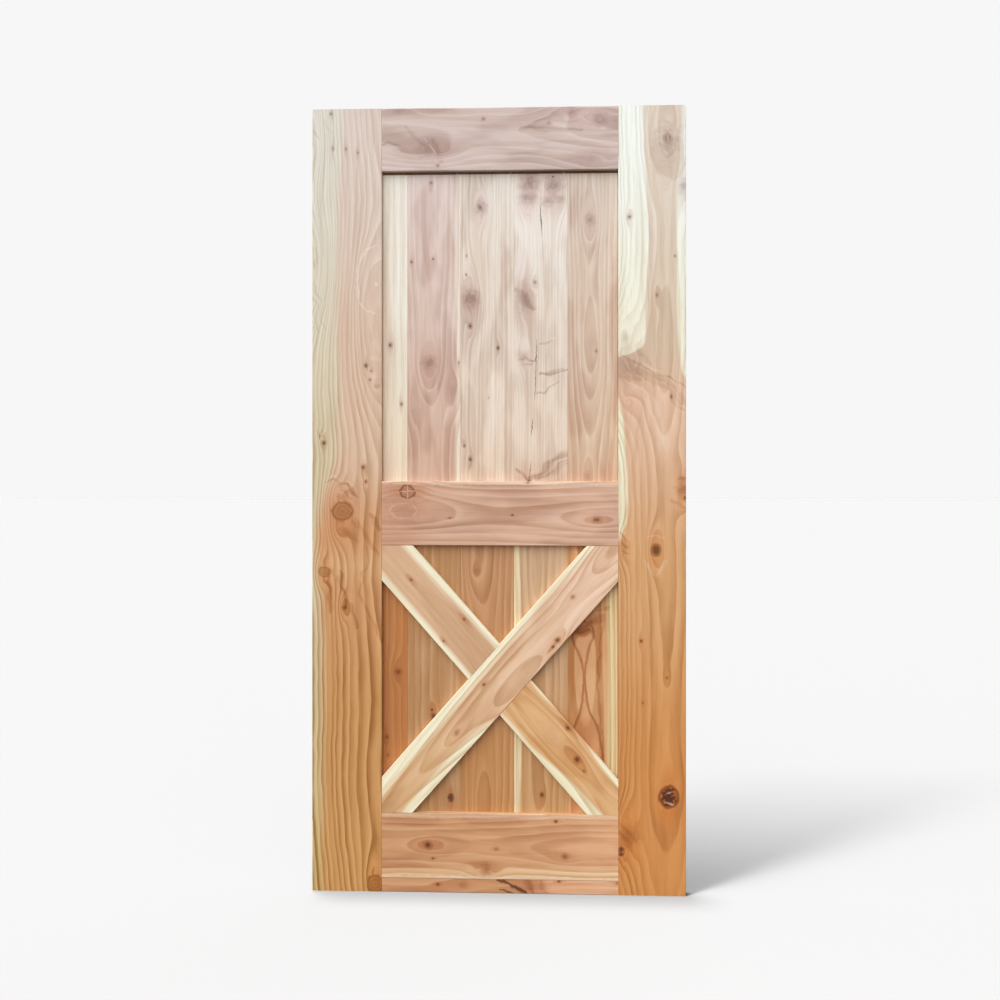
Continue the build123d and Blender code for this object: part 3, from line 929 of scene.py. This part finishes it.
# %% Braces
BRACE_SLOPE = 48.55
CROSSING = (4.5, 580.0)
BRACE_LENGTH = 960.0
fir(
    "long_brace", 17, CROSSING, BRACE_LENGTH, BRACE_SLOPE, rings=(10, 60, 10, 0.03, 6),
    heart=[(0.0, 218, 176, 131), (1.0, 239, 207, 182)], patch=(0.90, 0.83, 0.78),
    sap=(246, 238, 208),
    low=[(-480, -26), (-300, -30), (-100, -38), (100, -44), (300, -46), (480, -42)],
    high=[(-480, 42), (-330, 38), (-200, 40), (-120, 52), (-60, 70), (480, 80)], soft=7.0,
    knots=[
        (-1, 300, 7.1, 1.3, 6, 0.5, "pin"), (46, 185, 8.2, 1.2, 8, 0.9, "pin"), (49, 164, 5.4, 1.3, 4, 0.9),
        (-23, -38, 4.6, 1.2, 3, 0.8), (45, 33, 21.8, 1.7, 20, 0.1, "smudge"),
        (9, -186, 8.7, 1.4, 8, 0.4, "pin"), (-6, 459, 16.3, 1.3, 14, 0.25, "smudge"),
    ],
)
fir(
    "upper_short_brace", 18, CROSSING, BRACE_LENGTH, -BRACE_SLOPE, rings=(0, 80, 16, 0.015, 4), contrast=0.35,
    heart=(213, 173, 138), patch=(0.95, 0.90, 0.87), sap=(245, 237, 208), soft=6.0,
    low=[(-480, -42), (-300, -44), (-60, -48)], high=[(-480, 48), (-300, 47), (-40, 49)],
    knots=[(2, -362, 4.6, 1.2, 4, 0.75), (-36, -187, 4.6, 1.2, 4, 0.7), (45, -179, 4.6, 1.2, 4, 0.7)],
)
fir(
    "lower_short_brace", 19, CROSSING, BRACE_LENGTH, -BRACE_SLOPE, rings=(0, 60, 12, 0.03, 5), contrast=0.45,
    heart=(224, 178, 129), patch=(0.89, 0.80, 0.66), sap=(245, 237, 206), soft=6.0,
    low=[(60, -60), (100, -54), (150, -58), (200, -68), (280, -64), (330, -52), (400, -47), (480, -44)],
    high=[(60, 58), (130, 52), (190, 54), (260, 44), (330, 36), (480, 31)],
    knots=[
        (-15, 300, 11.4, 1.1, 12, 0.85, "pin"), (-54, 219, 8.2, 1.4, 8, 0.8, "pin"),
        (-9, 335, 5.4, 1.4, 4, 0.5), (-9, 205, 21.8, 1.8, 14, 0.12, "smudge"),
    ],
)

# %% [markdown]
# ## The brace screws
#
# Nine countersunk screws hold the braces from the back. The solids leave out the square recess
# for the driver, so each screw is made again with one: a round rim bridged to a square, the square
# pushed in, and the rim drawn down to a cone, a shank and a point.

# %% Brace screws
BACK_FACE = 0.019
HEAD_RADIUS, SHANK_RADIUS, TIP_RADIUS = 0.0042, 0.0021, 0.0004
HEAD_SLOPE = 41.0
HEAD_HEIGHT = (HEAD_RADIUS - SHANK_RADIUS) / math.tan(math.radians(HEAD_SLOPE))
SCREW_LENGTH, POINT_LENGTH = 0.032, 0.005
DRIVE_RADIUS, DRIVE_DEPTH, DRIVE_TAPER = 0.0021, 0.0019, 0.85
SCREW_SIDES = 24
SHORT_BRACE_BOARDS = (0, 1, 3, 4)


def corners_of(parts):
    return [part for part in parts if isinstance(part, bmesh.types.BMVert)]


def pulled(shape, edges, depth, width):
    """Draws an open rim of edges on into the wood, narrower or wider, and hands back the new rim."""
    made = bmesh.ops.extrude_edge_only(shape, edges=edges)["geom"]
    corners = corners_of(made)
    bmesh.ops.translate(shape, verts=corners, vec=(0.0, -depth, 0.0))
    bmesh.ops.scale(shape, verts=corners, vec=(width, 1.0, width))
    return [part for part in made if isinstance(part, bmesh.types.BMEdge) and part.is_boundary]


def rim_edges(corners):
    return list({edge for corner in corners for edge in corner.link_edges})


screws = bmesh.new()
upright = Matrix.Rotation(math.radians(90.0), 4, "X")
rim = rim_edges(bmesh.ops.create_circle(
    screws, segments=SCREW_SIDES, radius=HEAD_RADIUS, matrix=upright,
)["verts"])
drive = rim_edges(bmesh.ops.create_circle(
    screws, segments=4, radius=DRIVE_RADIUS, matrix=upright @ Matrix.Rotation(math.radians(45.0), 4, "Z"),
)["verts"])
cut = bmesh.ops.subdivide_edges(screws, edges=drive, cuts=SCREW_SIDES // 4 - 1)["geom"]
drive = [part for part in cut if isinstance(part, bmesh.types.BMEdge)]
bmesh.ops.bridge_loops(screws, edges=rim + drive)
floor_of_drive = pulled(screws, drive, DRIVE_DEPTH, DRIVE_TAPER)
bmesh.ops.edgeloop_fill(screws, edges=floor_of_drive)
rim = pulled(screws, rim, HEAD_HEIGHT, SHANK_RADIUS / HEAD_RADIUS)
rim = pulled(screws, rim, SCREW_LENGTH - HEAD_HEIGHT - POINT_LENGTH, 1.0)
rim = pulled(screws, rim, POINT_LENGTH, TIP_RADIUS / SHANK_RADIUS)
bmesh.ops.edgeloop_fill(screws, edges=rim)
bmesh.ops.recalc_face_normals(screws, faces=screws.faces)

rise = math.tan(math.radians(BRACE_SLOPE))
seats = []
for number, middle in enumerate(BOARD_MIDDLES):
    x = middle / MM_PER_M
    lift = (x - CROSSING[0] / MM_PER_M) * rise
    seats.append((x, BACK_FACE, CROSSING[1] / MM_PER_M + lift))
    if number in SHORT_BRACE_BOARDS:
        seats.append((x, BACK_FACE, CROSSING[1] / MM_PER_M - lift))
first = screws.verts[:] + screws.edges[:] + screws.faces[:]
for seat in seats[1:]:
    copy = bmesh.ops.duplicate(screws, geom=first)["geom"]
    bmesh.ops.translate(screws, verts=corners_of(copy), vec=seat)
bmesh.ops.translate(screws, verts=corners_of(first), vec=seats[0])
screw_piece = shaped("square_drive_screws", screws)
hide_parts("brace_screws")
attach(screw_piece, "root")
print(len(seats), "screws,", len(screw_piece.data.polygons), "faces")

# %% Dull zinc
ZINC_DARK = tone(150, 146, 136)
ZINC_LIGHT = tone(184, 180, 172)
ZINC_CLOUDS = 900.0
zinc, bench, plating = new_finish("dull_zinc")
cloudy = bench.noise(bench.node("TexCoord").outputs["Object"], scale=ZINC_CLOUDS, detail=3.0)
bench.feed(plating["Base Color"], bench.blend(cloudy, ZINC_DARK, ZINC_LIGHT))
bench.feed(plating["Roughness"], bench.scaled(cloudy, 0.25, 0.35))
plating["Metallic"].default_value = 1.0
screw_piece.data.materials.append(zinc)
print("zinc on", screw_piece.name)

# %% [markdown]
# ## Floor
#
# The leaf stands on a pale floor that runs on without a horizon. A plane does it, if its colour under
# this light comes out as the background does. A studio floor that bright would throw light up under
# every ledge, so only the camera sees the pale paper, and the leaf is lit by a greyer one.

# %% Floor
FLOOR_SIDE = 60.0
FLOOR_SEEN = (0.127, 0.127, 0.127, 1.0)
FLOOR_LIT = (0.0213, 0.0213, 0.0213, 1.0)


def seen_directly(bench):
    """1 for what the camera sees, straight or in a reflection, and 0 for light on its way."""
    path = bench.node("LightPath").outputs
    seen = bench.math("MAXIMUM", path["Is Camera Ray"], path["Is Glossy Ray"])
    return bench.math("MAXIMUM", seen, path["Is Transmission Ray"])


floor_shape = bmesh.new()
bmesh.ops.create_grid(floor_shape, x_segments=1, y_segments=1, size=FLOOR_SIDE / 2)
floor = shaped("floor", floor_shape)
floor_finish, bench, paper = new_finish("floor_paper")
paper["Roughness"].default_value = 1.0
paper["Specular IOR Level"].default_value = 0.0
bench.feed(paper["Base Color"], bench.blend(seen_directly(bench), FLOOR_LIT, FLOOR_SEEN))
floor.data.materials.append(floor_finish)
print("floor", FLOOR_SIDE, "m")

# %% [markdown]
# ## Light
#
# A room of soft light lights the leaf at a plain level: most of it comes from the front and from above,
# and some from behind, so that the back is not dark. A row of lamps on the upper left, shaded off the
# leaf, lays its shadow on the floor, and one almost straight above lays the narrow shadow in front of
# the foot. The camera sees a plain pale background in place of the room.

# %% Light
BACKGROUND = (0.93, 0.93, 0.93, 1.0)
ROOM_BASE = 0.28
ROOM_LIGHTS = (  # way, edge of the glow, strength
    (Vector((-0.34, -0.51, 0.52)), 0.30, 2.49),
    (Vector((0.86, 1.0, 0.10)), 0.10, 0.99),
)
LAMPS = (  # height in degrees, turn from straight ahead, width in degrees, light on the floor
    (50.0, 45.5, 9.5, 2.2),
    (60.0, 46.5, 9.5, 2.7),
    (70.0, 48.0, 9.5, 3.0),
    (80.0, 51.0, 9.5, 3.3),
    (87.5, 138.0, 3.7, 7.6),
)

world = bpy.data.worlds.new("studio")
bpy.context.scene.world = world
world.use_nodes = True
bench = Bench(world.node_tree)
room = world.node_tree.nodes["Background"]
way = bench.node("TexCoord").outputs["Generated"]
level = ROOM_BASE
for glow, edge, strength in ROOM_LIGHTS:
    facing = bench.vector("DOT_PRODUCT", way, glow.normalized(), out=1)
    level = bench.scaled(bench.step(facing, edge, 1.0), strength, level)
bench.feed(room.inputs["Strength"], level)
room.inputs["Color"].default_value = (1.0, 1.0, 1.0, 1.0)
backdrop = bench.node("Background")
backdrop.inputs["Color"].default_value = BACKGROUND
choice = bench.node("MixShader")
bench.feed(choice.inputs[0], seen_directly(bench))
bench.feed(choice.inputs[1], room.outputs[0])
bench.feed(choice.inputs[2], backdrop.outputs[0])
bench.feed(world.node_tree.nodes["World Output"].inputs["Surface"], choice.outputs[0])

lit_by_lamps = bpy.data.collections.new("lit_by_lamps")
lit_by_lamps.objects.link(floor)
for height, turn, width, strength in LAMPS:
    lamp_data = bpy.data.lights.new("soft_lamp", "SUN")
    lamp_data.energy = strength / math.sin(math.radians(height))
    lamp_data.angle = math.radians(width)
    lamp = placed("soft_lamp", lamp_data)
    lamp.rotation_euler = (math.radians(90.0 - height), 0.0, math.radians(-turn))
    lamp.light_linking.receiver_collection = lit_by_lamps
print(len(LAMPS), "lamps for the shadow")

# %% [markdown]
# ## Camera
#
# The photograph is taken level, from a little right of the middle and about chest height, so upright
# edges stay upright. The place and lens were fitted to the four corners of the leaf.

# %% Camera
CAMERA_PLACE = (0.190, -3.619, 1.2)
CAMERA_TURN = 2.745
LENS = 47.82
SHIFT_ACROSS, SHIFT_UP = -0.0043, -0.0487
camera_data = bpy.data.cameras.new("camera")
camera_data.lens = LENS
camera_data.shift_x = SHIFT_ACROSS
camera_data.shift_y = SHIFT_UP
camera = placed("camera", camera_data)
camera.location = CAMERA_PLACE
camera.rotation_euler = (math.radians(90.0), 0.0, math.radians(CAMERA_TURN))
bpy.context.scene.camera = camera
bpy.context.scene.view_settings.view_transform = "Standard"
print("camera at", tuple(round(v, 3) for v in camera.location))
